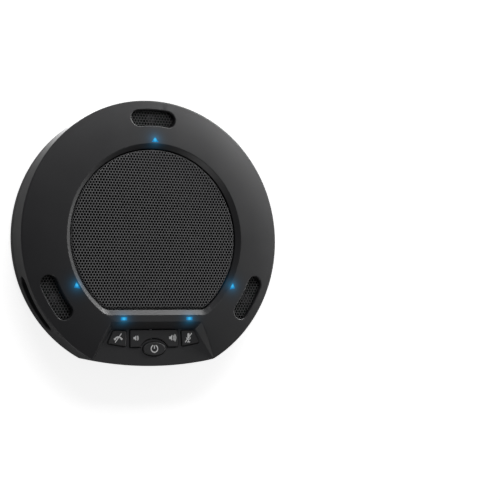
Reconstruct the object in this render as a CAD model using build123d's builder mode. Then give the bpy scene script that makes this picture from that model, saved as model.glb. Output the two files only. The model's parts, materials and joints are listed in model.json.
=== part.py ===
from build123d import *
import math
import os

# Conference speakerphone, lying on its feet: +Z up, +X right, +Y away from the user.
# The origin is at the centre of the footprint's box, on the table. All sizes in mm.

# ---------------------------------------------------------------- driving dimensions
case_radius = 100.0            # widest radius, at the upper edge of the wall
wall_foot_radius = 98.0        # the wall leans in slightly towards the table
face_edge_height = 31.5        # height at which the wall turns into the face
crown_radius = 68.1            # outer edge of the grille recess
crown_height = 37.4
case_bottom = 2.0              # underside, above the table by the feet
base_rounding = 1.4
parting_height = 9.0           # where top cover and base cover meet
wall = 2.5
face_swell_radius = 85.0       # the face bulges a little above a straight cone here
face_swell = 3.4
face_edge_drop = 0.9
face_edge_margin = 4.0
case_edge_rounding = 1.2
seam_chamfer = 0.35

chin_reach = 90.4              # flattened front edge, from the case axis
chin_radius = 255.0
chin_corner_radius = 5.0
chin_centre_y = chin_radius - chin_reach
case_axis_y = (chin_reach - case_radius) / 2

grille_radius = 64.8           # straight well that holds the grille
recess_corner = 10.0
well_corner = 8.0
recess_depth = 3.0
recess_rounding = 0.6
recess_chord = 55.8            # straight front edge of the recess, from the case axis
grille_chord = 52.0
grille_height = 35.0
grille_sheet = 0.8
grille_gap = 1.0
grille_rounding = 1.6
baffle_top = 31.4
baffle_thickness = 2.0
baffle_radius = 70.5
baffle_hole_radius = 41.0
baffle_screw_radius = 67.3     # circle of the screws that hold the baffle
speaker_screw_radius = 44.5    # circle of the screws that hold the loudspeaker

mic_angles = {"back": 90.0, "left": 210.0, "right": 330.0}
mic_radius = 87.0
mic_slot_width = 11.8
mic_slot_length = 34.4
mic_slot_rounding = 0.8
mic_shelf = 30.0               # underside of the collar around each microphone slot
mic_board_bottom = 26.2
mic_board_thickness = 1.0
mic_capsule_radius = 3.05
mic_boot_radius = 4.6

lens_radius = 70.9
lens_foot = 29.9
lens_top = 36.85
lens_half_base = 2.9           # the lamps are flat arrow heads that point outward
lens_half_depth = 1.8
bar_lens_x = 25.6
bar_lens_y = -58.4
bar_lens_length = 4.8
bar_lens_width = 2.2

panel_floor = 31.3             # control panel, sunk into the front of the face
panel_underside = 27.5
panel_back_y = -66.2
panel_front_y = -95.0
panel_back_x = 33.0
panel_front_x = 52.5
panel_side_slope = 42.0
panel_block_width = 112.0         # solid material under the panel, at its front
panel_rounding = 0.7
button_gap = 0.5
button_rounding = 0.7
button_top = 32.3
flange_top = 27.4
flange_bottom = 26.4
flange_overlap = 1.0
button_stem_radius = 1.6

board_thickness = 1.6
button_board_top = 22.6
switch_height = 2.0
plunger_top = 25.6
plunger_radius = 1.2
plunger_length = 2.0
board_screw_x = 39.5
board_screw_y = -66.5

port_angle = 209.25
port_height = 17.5
port_bay_length = 43.0
port_bay_height = 12.0
port_face_radius = 89.5        # front of the port panel
port_panel_thickness = 1.5
port_bay_rounding = 0.6
main_board_top = 13.1
main_board_outer = 84.0
main_board_inner = 57.0
main_board_start = 172.0
main_board_end = 248.0

boss_angles = (25.0, 60.0, 120.0, 155.0, 238.0, 302.0)
boss_radius_from_axis = 88.0
boss_radius = 3.2
pilot_radius = 1.25
screw_shank = 0.9              # small self-tapping screws: radius of the shank,
screw_clear = 1.1              # of the hole they pass through, and of the head
screw_head = 2.0
screw_head_height = 1.3
case_screw_clear = 1.6
case_screw_head = 2.7
case_screw_sink = 3.1

foot_angles = (45.0, 135.0, 225.0, 315.0)
foot_radius_from_axis = 76.0
foot_radius = 8.0
foot_recess = 0.6
plate_recess_length = 56.0
plate_recess_width = 34.0

speaker_flange_bottom = 27.9
speaker_flange_radius = 48.0
surround_radius = 36.0
coil_radius = 12.7
magnet_radius = 24.0
back_box_radius = 54.0
back_box_wall = 1.6
battery_angle = 350.0
battery_radius = 72.5
battery_height = 10.0
radio_angle = 90.0

os.makedirs("parts", exist_ok=True)

case_axis = Axis((0, case_axis_y, 0), (0, 0, 1))
half_section = Plane(origin=(0, case_axis_y, 0), x_dir=(1, 0, 0), z_dir=(0, -1, 0))


def level(height):
    """Horizontal plane at a height, centred on the case axis."""
    return Plane(origin=(0, case_axis_y, height), x_dir=(1, 0, 0), z_dir=(0, 0, 1))


def spoke(angle, radius, height):
    """Horizontal plane at a point round the case, its x pointing outward."""
    turn = math.radians(angle)
    centre = (radius * math.cos(turn), case_axis_y + radius * math.sin(turn), height)
    return Plane(origin=centre, x_dir=(math.cos(turn), math.sin(turn), 0), z_dir=(0, 0, 1))


def outward(angle, radius, height, across=0.0):
    """Upright plane facing outward, its x along the wall and its y up."""
    turn = math.radians(angle)
    out = Vector(math.cos(turn), math.sin(turn), 0)
    along = Vector(-math.sin(turn), math.cos(turn), 0)
    centre = Vector(0, case_axis_y, height) + out * radius + along * across
    return Plane(origin=centre, x_dir=along, z_dir=out)


def save(piece, name):
    """Name a finished piece and write it out."""
    piece.part.label = name
    export_step(piece.part, f"parts/{name}.step")


def around(angles, radius):
    """Places round the case axis, for use inside a sketch on a level plane."""
    spots = []
    for angle in angles:
        turn = math.radians(angle)
        spots.append((radius * math.cos(turn), radius * math.sin(turn)))
    return spots


def is_chin_corner(edge):
    """True for the two upright edges where the round wall meets the chin."""
    return abs(edge.tangent_at(0.5).Z) > 0.7 and edge.center().Y < -case_radius / 2


def case_form(inset, low, face_drop, flat_height):
    """Solid that fills the case, moved inward by an inset and lowered by a drop."""
    lean = math.degrees(math.atan((case_radius - wall_foot_radius) / (face_edge_height - case_bottom)))
    with BuildPart() as form:
        with BuildSketch(level(case_bottom)):
            Circle(wall_foot_radius - inset)
            with Locations((0, chin_centre_y)):
                Circle(chin_radius - inset, mode=Mode.INTERSECT)
        extrude(amount=crown_height, taper=-lean)
        fillet(form.edges().filter_by(is_chin_corner), chin_corner_radius)
        with BuildSketch(half_section):
            with BuildLine():
                rim = (crown_radius, min(crown_height - face_drop, flat_height))
                edge = (case_radius + face_edge_margin, face_edge_height - face_drop - face_edge_drop)
                swell = (face_swell_radius, face_edge_height - face_drop + face_swell)
                Line((0, low), (edge[0], low))
                Line((edge[0], low), edge)
                ThreePointArc(edge, swell, rim)
                Line(rim, (0, rim[1]))
                Line((0, rim[1]), (0, low))
            make_face()
        revolve(axis=case_axis, mode=Mode.INTERSECT)
    return form.part


def d_face(radius, chord, corner):
    """Round face with a straight front edge and rounded corners."""
    half_angle = math.degrees(math.acos(chord / radius))
    with BuildSketch() as outline:
        with BuildLine():
            arc = CenterArc((0, 0), radius, half_angle - 90, 360 - 2 * half_angle)
            Line(arc @ 0, arc @ 1)
        make_face()
        fillet(outline.vertices(), corner)
    return outline.sketch


def outer_edges(part, low, high):
    """Edges round the outside of the case, between two heights."""
    found = []
    for edge in part.edges():
        middle = edge.position_at(0.5)
        outside = math.hypot(middle.X, middle.Y - case_axis_y) > 80
        if outside and low < middle.Z < high:
            found.append(edge)
    return found


def mic_slot(angle, width):
    """Curved slot at a microphone, on the ring of microphones."""
    half_arc = math.degrees((mic_slot_length - mic_slot_width) / 2 / mic_radius)
    with BuildSketch() as outline:
        SlotArc(CenterArc((0, 0), mic_radius, angle - half_arc, 2 * half_arc), width)
    return outline.sketch


def slot_rims(part):
    """Edges where the microphone slots break through the face."""
    found = []
    for edge in part.edges():
        middle = edge.position_at(0.5)
        radius = math.hypot(middle.X, middle.Y - case_axis_y)
        turn = math.degrees(math.atan2(middle.Y - case_axis_y, middle.X)) % 360
        near = any(abs(turn - angle) < 14 for angle in mic_angles.values())
        if near and abs(radius - mic_radius) < mic_slot_width / 2 + 0.5 and middle.Z > panel_floor + 0.9:
            found.append(edge)
    return found


def panel_rims(part):
    """Edges where the sloping sides of the control panel meet the face."""
    found = []
    for edge in part.edges():
        middle = edge.position_at(0.5)
        inside = math.hypot(middle.X, middle.Y - case_axis_y) < case_radius - 6
        if inside and middle.Z > panel_floor + 0.4 and middle.Z < crown_height - 0.1:
            found.append(edge)
    return found


def recess_rim(part):
    """Edges round the mouth of the grille recess."""
    found = []
    for edge in part.edges():
        middle = edge.position_at(0.5)
        inside = math.hypot(middle.X, middle.Y - case_axis_y) < crown_radius + 1
        if inside and middle.Z > crown_height - 0.05:
            found.append(edge)
    return found


def port_bay_rim(part):
    """Edges where the port bay breaks through the wall."""
    found = []
    for edge in part.edges():
        middle = edge.position_at(0.5)
        outside = math.hypot(middle.X, middle.Y - case_axis_y) > case_radius - 3
        beside = abs(middle.Z - port_height) < port_bay_height / 2 + 1
        if outside and beside and middle.X < 0 and edge.length < port_bay_length + 5:
            found.append(edge)
    return found


def draw_arrow_lens():
    """Lamp outline on a spoke plane: an arrow head pointing outward."""
    Polygon(
        (-lens_half_depth, -lens_half_base), (lens_half_depth, 0), (-lens_half_depth, lens_half_base), align=None
    )


# ---------------------------------------------------------------- control outlines
def hang_up_outline():
    return [(-31.8, -66.9), (-21.3, -66.9), (-22.0, -78.4), (-36.2, -75.9)]


def mute_outline():
    return [(-x, y) for x, y in reversed(hang_up_outline())]


side_button_corner = 1.2
rocker_back_y = -66.4
rocker_front_y = -78.8
rocker_half_width = 18.8
arch_half_width = 10.4
power_centre_y = -80.1
power_half_width = 8.8
power_half_depth = 5.0
arch_drop = 0.6
arch_gap = 1.5                 # ring of panel between the rocker's arch and the power button
pivot_height = 25.5
pivot_radius = 0.8
side_switch_x = 28.0
side_switch_y = -72.0
volume_switch_x = 14.3
switch_side = 6.0
lug_bottom = 24.2              # lugs that carry the rocker's pivot pin
lug_thickness = 0.8
back_lug_y = -65.3
front_lug_y = -73.4
rocker_lug_y = -69.1
rocker_lug_length = 4.8


def side_button(points, grow):
    """Four-sided button outline with rounded corners, grown by an amount all round."""
    with BuildSketch() as outline:
        Polygon(*points, align=None)
        fillet(outline.vertices(), side_button_corner)
        if grow > 0:
            offset(amount=grow, kind=Kind.ARC)
    return outline.sketch


def draw_rocker(grow):
    """Volume rocker outline: a bar with an arch cut into its front edge."""
    centre_y = (rocker_back_y + rocker_front_y) / 2
    with Locations((0, centre_y)):
        RectangleRounded(
            2 * (rocker_half_width + grow), rocker_back_y - rocker_front_y + 2 * grow, side_button_corner
        )
    with Locations((0, power_centre_y)):
        Ellipse(
            power_half_width + arch_gap + button_gap - grow,
            power_half_depth + arch_gap + button_gap + arch_drop - grow,
            mode=Mode.SUBTRACT,
        )


def draw_power(grow):
    """Oval power button outline."""
    with Locations((0, power_centre_y)):
        Ellipse(power_half_width + grow, power_half_depth + grow)


board_screws_at = [(-board_screw_x, board_screw_y), (board_screw_x, board_screw_y)]

# ---------------------------------------------------------------- space inside the case
with BuildPart() as cavity:
    add(case_form(wall, case_bottom + wall, wall, baffle_top))
    # Material that the hollow leaves standing: panel block, bosses, mic collars, port tunnel.
    with BuildSketch(level(panel_underside)):
        with Locations((0, -78.0)):
            Trapezoid(panel_block_width, 32, 65)
    extrude(amount=20, mode=Mode.SUBTRACT)
    with BuildSketch(level(parting_height)):
        with Locations(around(boss_angles, boss_radius_from_axis)):
            Circle(boss_radius)
    extrude(amount=30, mode=Mode.SUBTRACT)
    for mic_angle in mic_angles.values():
        with BuildSketch(level(mic_shelf)):
            add(mic_slot(mic_angle, mic_slot_width + 4))
        extrude(amount=12, mode=Mode.SUBTRACT)
    with BuildSketch(outward(port_angle, port_face_radius, port_height)):
        RectangleRounded(port_bay_length + 6, port_bay_height + 5, 4)
    extrude(amount=14, mode=Mode.SUBTRACT)

# ---------------------------------------------------------------- top cover
with BuildPart() as top_cover:
    add(case_form(0, parting_height, 0, crown_height))
    fillet(outer_edges(top_cover, 20, crown_height), case_edge_rounding)
    chamfer(outer_edges(top_cover, parting_height - 0.1, parting_height + 0.1), seam_chamfer)
    # Control panel scoop, with sloping sides that run out at the front edge.
    with BuildSketch(level(panel_floor)):
        with BuildLine():
            Polyline(
                (-panel_back_x, panel_back_y),
                (panel_back_x, panel_back_y),
                (panel_front_x, panel_front_y),
                (-panel_front_x, panel_front_y),
                close=True,
            )
        make_face()
    extrude(amount=crown_height - panel_floor + 1, taper=-panel_side_slope, mode=Mode.SUBTRACT)
    fillet(panel_rims(top_cover), panel_rounding)
    # Bevelled grille recess, then the straight well that holds the grille.
    with BuildSketch(level(crown_height)):
        add(d_face(crown_radius, recess_chord, recess_corner))
    with BuildSketch(level(crown_height - recess_depth)):
        add(d_face(grille_radius, grille_chord, well_corner))
    loft(mode=Mode.SUBTRACT)
    fillet(recess_rim(top_cover), recess_rounding)
    with BuildSketch(level(baffle_top)):
        add(d_face(grille_radius, grille_chord, well_corner))
    extrude(amount=4, mode=Mode.SUBTRACT)
    add(cavity.part, mode=Mode.SUBTRACT)
    # Microphone slots.
    for mic_angle in mic_angles.values():
        with BuildSketch(level(mic_shelf - 1)):
            add(mic_slot(mic_angle, mic_slot_width))
        extrude(amount=12, mode=Mode.SUBTRACT)
    fillet(slot_rims(top_cover), mic_slot_rounding)
    # Windows for the lamp lenses.
    for mic_angle in mic_angles.values():
        with BuildSketch(spoke(mic_angle, lens_radius, lens_foot)):
            draw_arrow_lens()
        extrude(amount=10, mode=Mode.SUBTRACT)
    with BuildSketch(level(panel_underside - 1)):
        with Locations((-bar_lens_x, bar_lens_y), (bar_lens_x, bar_lens_y)):
            Rectangle(bar_lens_length, bar_lens_width)
    extrude(amount=12, mode=Mode.SUBTRACT)
    # Openings for the buttons.
    with BuildSketch(level(panel_underside - 1)):
        add(side_button(hang_up_outline(), button_gap))
    extrude(amount=6, mode=Mode.SUBTRACT)
    with BuildSketch(level(panel_underside - 1)):
        add(side_button(mute_outline(), button_gap))
    extrude(amount=6, mode=Mode.SUBTRACT)
    with BuildSketch(level(panel_underside - 1)):
        draw_rocker(button_gap)
    extrude(amount=6, mode=Mode.SUBTRACT)
    with BuildSketch(level(panel_underside - 1)):
        draw_power(button_gap)
    extrude(amount=6, mode=Mode.SUBTRACT)
    # Port bay through the left wall.
    with BuildSketch(outward(port_angle, port_face_radius - 1, port_height)):
        SlotOverall(port_bay_length, port_bay_height)
    extrude(amount=20, mode=Mode.SUBTRACT)
    fillet(port_bay_rim(top_cover), port_bay_rounding)
    # Screw pilot holes: case screws, baffle screws.
    with BuildSketch(level(parting_height)):
        with Locations(around(boss_angles, boss_radius_from_axis)):
            Circle(pilot_radius)
    extrude(amount=12, mode=Mode.SUBTRACT)
    with BuildSketch(level(baffle_top)):
        with Locations(around(foot_angles, baffle_screw_radius)):
            Circle(screw_shank)
    extrude(amount=3.0, mode=Mode.SUBTRACT)
    # Lugs that carry the rocker's pivot pin, and posts for the button board.
    with BuildSketch(level(lug_bottom)):
        with Locations((0, back_lug_y), (0, front_lug_y)):
            Rectangle(5, lug_thickness)
    extrude(amount=panel_underside - lug_bottom)
    with BuildSketch(level(button_board_top)):
        with Locations(*board_screws_at):
            Circle(2.2)
    extrude(amount=panel_underside - button_board_top)
    with BuildSketch(level(button_board_top)):
        with Locations(*board_screws_at):
            Circle(screw_shank)
    extrude(amount=4, mode=Mode.SUBTRACT)
    with BuildSketch(Plane(origin=(0, case_axis_y - 64, pivot_height), x_dir=(1, 0, 0), z_dir=(0, -1, 0))):
        Circle(pivot_radius)
    extrude(amount=10, mode=Mode.SUBTRACT)
save(top_cover, "top_cover")

# ---------------------------------------------------------------- base cover
with BuildPart() as base_cover:
    add(case_form(0, case_bottom, 0, crown_height))
    fillet(outer_edges(base_cover, 0, case_bottom + 0.1), base_rounding)
    with BuildSketch(level(parting_height)):
        Circle(case_radius + 10)
    extrude(amount=40, mode=Mode.SUBTRACT)
    chamfer(outer_edges(base_cover, parting_height - 0.1, parting_height + 0.1), seam_chamfer)
    add(cavity.part, mode=Mode.SUBTRACT)
    # Posts under the case bosses, and standoffs for the main board.
    with BuildSketch(level(case_bottom + wall)):
        with Locations(around(boss_angles, boss_radius_from_axis)):
            Circle(4.2)
    extrude(amount=parting_height - case_bottom - wall)
    board_posts = around((178.0, 242.0), 61.5) + around((178.0, 242.0), 80.0)
    with BuildSketch(level(case_bottom + wall)):
        with Locations(board_posts):
            Circle(2.6)
    extrude(amount=main_board_top - board_thickness - case_bottom - wall)
    with BuildSketch(level(case_bottom + wall)):
        with Locations(board_posts):
            Circle(screw_shank)
    extrude(amount=10, mode=Mode.SUBTRACT)
    # Screw holes from below, with the heads sunk.
    with BuildSketch(level(case_bottom)):
        with Locations(around(boss_angles, boss_radius_from_axis)):
            Circle(case_screw_clear)
    extrude(amount=10, mode=Mode.SUBTRACT)
    with BuildSketch(level(case_bottom)):
        with Locations(around(boss_angles, boss_radius_from_axis)):
            Circle(case_screw_sink)
    extrude(amount=3.0, mode=Mode.SUBTRACT)
    # Shallow seats for the rubber feet and for a rating plate.
    with BuildSketch(level(case_bottom)):
        with Locations(around(foot_angles, foot_radius_from_axis)):
            Circle(foot_radius)
        RectangleRounded(plate_recess_length, plate_recess_width, 3)
    extrude(amount=foot_recess, mode=Mode.SUBTRACT)
save(base_cover, "base_cover")

with BuildPart() as rubber_feet:
    with BuildSketch(level(0)):
        with Locations(around(foot_angles, foot_radius_from_axis)):
            Circle(foot_radius)
    extrude(amount=case_bottom + foot_recess)
    fillet(rubber_feet.edges().group_by(Axis.Z)[0], 0.8)
save(rubber_feet, "rubber_feet")

with BuildPart() as case_screws:
    with BuildSketch(level(case_bottom + 1.2)):
        with Locations(around(boss_angles, boss_radius_from_axis)):
            Circle(case_screw_head)
    extrude(amount=1.8)
    with BuildSketch(level(case_bottom + 1.2)):
        with Locations(around(boss_angles, boss_radius_from_axis)):
            RegularPolygon(1.1, 6)
    extrude(amount=1.0, mode=Mode.SUBTRACT)
    with BuildSketch(level(case_bottom + 3.0)):
        with Locations(around(boss_angles, boss_radius_from_axis)):
            Circle(pilot_radius)
    extrude(amount=13.0)
save(case_screws, "case_screws")

# ---------------------------------------------------------------- grille and baffle
with BuildPart() as speaker_grille:
    with BuildSketch(level(baffle_top)):
        add(d_face(grille_radius - grille_gap, grille_chord - grille_gap, well_corner))
    extrude(amount=grille_height - baffle_top)
    fillet(speaker_grille.edges().group_by(Axis.Z)[-1], grille_rounding)
    with BuildSketch(level(baffle_top)):
        inside = grille_gap + grille_sheet
        add(d_face(grille_radius - inside, grille_chord - inside, well_corner))
    extrude(amount=grille_height - baffle_top - grille_sheet, mode=Mode.SUBTRACT)
save(speaker_grille, "speaker_grille")

with BuildPart() as speaker_baffle:
    with BuildSketch(level(baffle_top - baffle_thickness)):
        add(d_face(baffle_radius, recess_chord + 0.4, well_corner))
        Circle(baffle_hole_radius, mode=Mode.SUBTRACT)
        with Locations(around(foot_angles, baffle_screw_radius)):
            Circle(screw_clear, mode=Mode.SUBTRACT)
        with Locations(around(foot_angles, speaker_screw_radius)):
            Circle(screw_shank, mode=Mode.SUBTRACT)
    extrude(amount=baffle_thickness)
    for mic_angle in mic_angles.values():
        with BuildSketch(spoke(mic_angle, lens_radius + 6, baffle_top - baffle_thickness)):
            Rectangle(16.5, 9)
        extrude(amount=baffle_thickness, mode=Mode.SUBTRACT)
save(speaker_baffle, "speaker_baffle")

# ---------------------------------------------------------------- loudspeaker
basket_floor = 14.0
flange_height = baffle_top - baffle_thickness

with BuildPart() as speaker_basket:
    with BuildSketch(half_section):
        with BuildLine():
            Polyline(
                (38.0, speaker_flange_bottom),
                (27.0, 17.0),
                (27.0, basket_floor - 1.0),
                (14.2, basket_floor - 1.0),
                (14.2, basket_floor),
                (26.0, basket_floor),
                (26.0, 17.4),
                (37.4, flange_height),
                (speaker_flange_radius, flange_height),
                (speaker_flange_radius, speaker_flange_bottom),
                close=True,
            )
        make_face()
    revolve(axis=case_axis)
    with BuildSketch(level(18.6)):
        with PolarLocations(31.5, 6):
            RectangleRounded(9, 17, 2)
    extrude(amount=8.4, mode=Mode.SUBTRACT)
    with BuildSketch(level(speaker_flange_bottom)):
        with Locations(around(foot_angles, speaker_screw_radius)):
            Circle(screw_clear)
    extrude(amount=2, mode=Mode.SUBTRACT)
save(speaker_basket, "speaker_basket")

with BuildPart() as speaker_screws:
    with BuildSketch(level(speaker_flange_bottom - screw_head_height)):
        with Locations(around(foot_angles, speaker_screw_radius)):
            Circle(screw_head)
    extrude(amount=screw_head_height)
    with BuildSketch(level(speaker_flange_bottom)):
        with Locations(around(foot_angles, speaker_screw_radius)):
            Circle(screw_shank)
    extrude(amount=3.3)
    # The same screws again, holding the baffle up against the top cover.
    with BuildSketch(level(flange_height - screw_head_height)):
        with Locations(around(foot_angles, baffle_screw_radius)):
            Circle(screw_head)
    extrude(amount=screw_head_height)
    with BuildSketch(level(flange_height)):
        with Locations(around(foot_angles, baffle_screw_radius)):
            Circle(screw_shank)
    extrude(amount=4.6)
save(speaker_screws, "speaker_screws")

with BuildPart() as speaker_surround:
    with BuildSketch(half_section):
        with Locations((surround_radius, flange_height)):
            Circle(2.2)
            Circle(1.6, mode=Mode.SUBTRACT)
            with Locations((0, -2)):
                Rectangle(6, 4, mode=Mode.SUBTRACT)
        with Locations((39.3, flange_height + 0.3)):
            Rectangle(2.8, 0.6)
        with Locations((33.2, flange_height + 0.3)):
            Rectangle(2.2, 0.6)
    revolve(axis=case_axis)
save(speaker_surround, "speaker_surround")

cone_foot = 20.4
with BuildPart() as speaker_cone:
    with BuildSketch(half_section):
        with BuildLine():
            ThreePointArc((coil_radius + 0.4, cone_foot), (22.0, 23.6), (32.4, flange_height - 0.6))
            Line((32.4, flange_height - 0.6), (33.8, flange_height - 0.6))
            Line((33.8, flange_height - 0.6), (33.8, flange_height))
            Line((33.8, flange_height), (32.0, flange_height))
            ThreePointArc((32.0, flange_height), (21.6, 24.2), (coil_radius + 0.4, cone_foot + 0.8))
            Line((coil_radius + 0.4, cone_foot + 0.8), (coil_radius + 0.4, cone_foot))
        make_face()
    revolve(axis=case_axis)
save(speaker_cone, "speaker_cone")

with BuildPart() as voice_coil:
    with BuildSketch(level(10.5)):
        Circle(coil_radius + 0.4)
        Circle(coil_radius - 0.3, mode=Mode.SUBTRACT)
    extrude(amount=cone_foot + 0.8 - 10.5)
save(voice_coil, "voice_coil")

dust_cap_radius = 24.5
with BuildPart() as speaker_dust_cap:
    with BuildSketch(half_section):
        with Locations((0, cone_foot + 4.6 - dust_cap_radius)):
            Circle(dust_cap_radius)
            Circle(dust_cap_radius - 0.6, mode=Mode.SUBTRACT)
        with Locations(((coil_radius + 0.4) / 2, cone_foot + 0.8 + 3)):
            Rectangle(coil_radius + 0.4, 6, mode=Mode.INTERSECT)
    revolve(axis=case_axis)
save(speaker_dust_cap, "speaker_dust_cap")

with BuildPart() as speaker_spider:
    with BuildSketch(level(16.0)):
        Circle(26.0)
        Circle(coil_radius + 0.4, mode=Mode.SUBTRACT)
    extrude(amount=0.5)
    for ring in (15.6, 19.0, 22.4):
        with BuildSketch(level(16.5)):
            Circle(ring + 1.1)
            Circle(ring, mode=Mode.SUBTRACT)
        extrude(amount=0.5)
save(speaker_spider, "speaker_spider")

with BuildPart() as speaker_top_plate:
    with BuildSketch(level(11.8)):
        Circle(magnet_radius)
        Circle(14.2, mode=Mode.SUBTRACT)
    extrude(amount=basket_floor - 1.0 - 11.8)
save(speaker_top_plate, "speaker_top_plate")

with BuildPart() as speaker_magnet:
    with BuildSketch(level(8.0)):
        Circle(magnet_radius)
        Circle(15.5, mode=Mode.SUBTRACT)
    extrude(amount=3.8)
save(speaker_magnet, "speaker_magnet")

with BuildPart() as speaker_yoke:
    with BuildSketch(level(6.6)):
        Circle(magnet_radius)
    extrude(amount=1.4)
    with BuildSketch(level(8.0)):
        Circle(11.6)
    extrude(amount=5.0)
save(speaker_yoke, "speaker_yoke")

with BuildPart() as speaker_back_box:
    with BuildSketch(level(case_bottom + wall)):
        Circle(back_box_radius)
    extrude(amount=flange_height - case_bottom - wall)
    with BuildSketch(level(case_bottom + wall + back_box_wall)):
        Circle(back_box_radius - back_box_wall)
    extrude(amount=30, mode=Mode.SUBTRACT)
save(speaker_back_box, "speaker_back_box")

# ---------------------------------------------------------------- microphones and lamps
for side, mic_angle in mic_angles.items():
    with BuildPart() as mic_grille:
        with BuildSketch(level(mic_shelf - 0.6)):
            add(mic_slot(mic_angle, mic_slot_width + 2.0))
        extrude(amount=0.6)
    save(mic_grille, f"mic_grille_{side}")

    with BuildPart() as mic_board:
        with BuildSketch(spoke(mic_angle, mic_radius, mic_board_bottom)):
            Rectangle(12, 24)
        extrude(amount=mic_board_thickness)
    save(mic_board, f"mic_board_{side}")

    with BuildPart() as mic_boot:
        with BuildSketch(spoke(mic_angle, mic_radius, mic_board_bottom + mic_board_thickness)):
            Circle(mic_boot_radius)
            Circle(mic_capsule_radius, mode=Mode.SUBTRACT)
        extrude(amount=mic_shelf - 0.6 - mic_board_thickness - mic_board_bottom)
    save(mic_boot, f"mic_boot_{side}")

    with BuildPart() as mic_capsule:
        with BuildSketch(spoke(mic_angle, mic_radius, mic_board_bottom + mic_board_thickness)):
            Circle(mic_capsule_radius)
        extrude(amount=1.9)
        with BuildSketch(spoke(mic_angle, mic_radius, mic_board_bottom + 2.6)):
            Circle(screw_shank)
        extrude(amount=0.3, mode=Mode.SUBTRACT)
    save(mic_capsule, f"mic_capsule_{side}")

    with BuildPart() as lamp_lens:
        with BuildSketch(spoke(mic_angle, lens_radius, lens_foot)):
            draw_arrow_lens()
        extrude(amount=lens_top - lens_foot)
    save(lamp_lens, f"lamp_lens_{side}")

for side, x in {"front_left": -bar_lens_x, "front_right": bar_lens_x}.items():
    with BuildPart() as bar_lens:
        with BuildSketch(level(panel_underside)):
            with Locations((x, bar_lens_y)):
                Rectangle(bar_lens_length, bar_lens_width)
        extrude(amount=crown_height - panel_underside)
    save(bar_lens, f"lamp_lens_{side}")

# ---------------------------------------------------------------- buttons
with BuildPart() as hang_up_button:
    with BuildSketch(level(flange_bottom)):
        add(side_button(hang_up_outline(), flange_overlap))
    extrude(amount=flange_top - flange_bottom)
    with BuildSketch(level(flange_top)):
        add(side_button(hang_up_outline(), 0))
    extrude(amount=button_top - flange_top)
    fillet(hang_up_button.edges().group_by(Axis.Z)[-1], button_rounding)
    with BuildSketch(level(plunger_top)):
        with Locations((-side_switch_x, side_switch_y)):
            Circle(button_stem_radius)
    extrude(amount=flange_bottom - plunger_top)
save(hang_up_button, "hang_up_button")

with BuildPart() as mute_button:
    with BuildSketch(level(flange_bottom)):
        add(side_button(mute_outline(), flange_overlap))
    extrude(amount=flange_top - flange_bottom)
    with BuildSketch(level(flange_top)):
        add(side_button(mute_outline(), 0))
    extrude(amount=button_top - flange_top)
    fillet(mute_button.edges().group_by(Axis.Z)[-1], button_rounding)
    with BuildSketch(level(plunger_top)):
        with Locations((side_switch_x, side_switch_y)):
            Circle(button_stem_radius)
    extrude(amount=flange_bottom - plunger_top)
save(mute_button, "mute_button")

with BuildPart() as power_button:
    with BuildSketch(level(flange_bottom)):
        draw_power(flange_overlap)
    extrude(amount=flange_top - flange_bottom)
    with BuildSketch(level(flange_top)):
        draw_power(0)
    extrude(amount=button_top - flange_top)
    fillet(power_button.edges().group_by(Axis.Z)[-1], button_rounding)
    with BuildSketch(level(plunger_top)):
        with Locations((0, power_centre_y)):
            Circle(button_stem_radius)
    extrude(amount=flange_bottom - plunger_top)
save(power_button, "power_button")

with BuildPart() as volume_rocker:
    with BuildSketch(level(flange_bottom)):
        draw_rocker(0)
    extrude(amount=button_top - flange_bottom)
    fillet(volume_rocker.edges().group_by(Axis.Z)[-1], button_rounding)
    with BuildSketch(level(plunger_top)):
        with Locations((-volume_switch_x, side_switch_y), (volume_switch_x, side_switch_y)):
            Circle(button_stem_radius)
    extrude(amount=flange_bottom - plunger_top)
    # Lug round the pivot pin.
    with BuildSketch(level(lug_bottom)):
        with Locations((0, rocker_lug_y)):
            Rectangle(4, rocker_lug_length)
    extrude(amount=flange_bottom - lug_bottom)
    with BuildSketch(Plane(origin=(0, case_axis_y - 64, pivot_height), x_dir=(1, 0, 0), z_dir=(0, -1, 0))):
        Circle(pivot_radius + 0.05)
    extrude(amount=10, mode=Mode.SUBTRACT)
save(volume_rocker, "volume_rocker")

with BuildPart() as rocker_pivot_pin:
    with BuildSketch(Plane(origin=(0, case_axis_y - 64.7, pivot_height), x_dir=(1, 0, 0), z_dir=(0, -1, 0))):
        Circle(pivot_radius)
    extrude(amount=8.8)
save(rocker_pivot_pin, "rocker_pivot_pin")

switch_places = {
    "hang_up": (-side_switch_x, side_switch_y),
    "volume_down": (-volume_switch_x, side_switch_y),
    "volume_up": (volume_switch_x, side_switch_y),
    "mute": (side_switch_x, side_switch_y),
    "power": (0, power_centre_y),
}
for role, place in switch_places.items():
    with BuildPart() as switch:
        with BuildSketch(level(button_board_top)):
            with Locations(place):
                Rectangle(switch_side, switch_side)
        extrude(amount=switch_height)
        with BuildSketch(level(button_board_top + 0.3)):
            with Locations(place):
                Circle(plunger_radius + 0.3)
        extrude(amount=switch_height, mode=Mode.SUBTRACT)
    save(switch, f"{role}_switch")

plunger_places = {
    "hang_up_plunger": [switch_places["hang_up"]],
    "volume_plungers": [switch_places["volume_down"], switch_places["volume_up"]],
    "mute_plunger": [switch_places["mute"]],
    "power_plunger": [switch_places["power"]],
}
for name, places in plunger_places.items():
    with BuildPart() as plunger:
        with BuildSketch(level(plunger_top - plunger_length)):
            with Locations(places):
                Circle(plunger_radius)
        extrude(amount=plunger_length)
    save(plunger, name)

with BuildPart() as button_board:
    with BuildSketch(level(button_board_top - board_thickness)):
        with Locations((0, -74.0)):
            RectangleRounded(84, 23, 3)
        with Locations(*board_screws_at):
            Circle(screw_clear, mode=Mode.SUBTRACT)
    extrude(amount=board_thickness)
save(button_board, "button_board")

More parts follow.
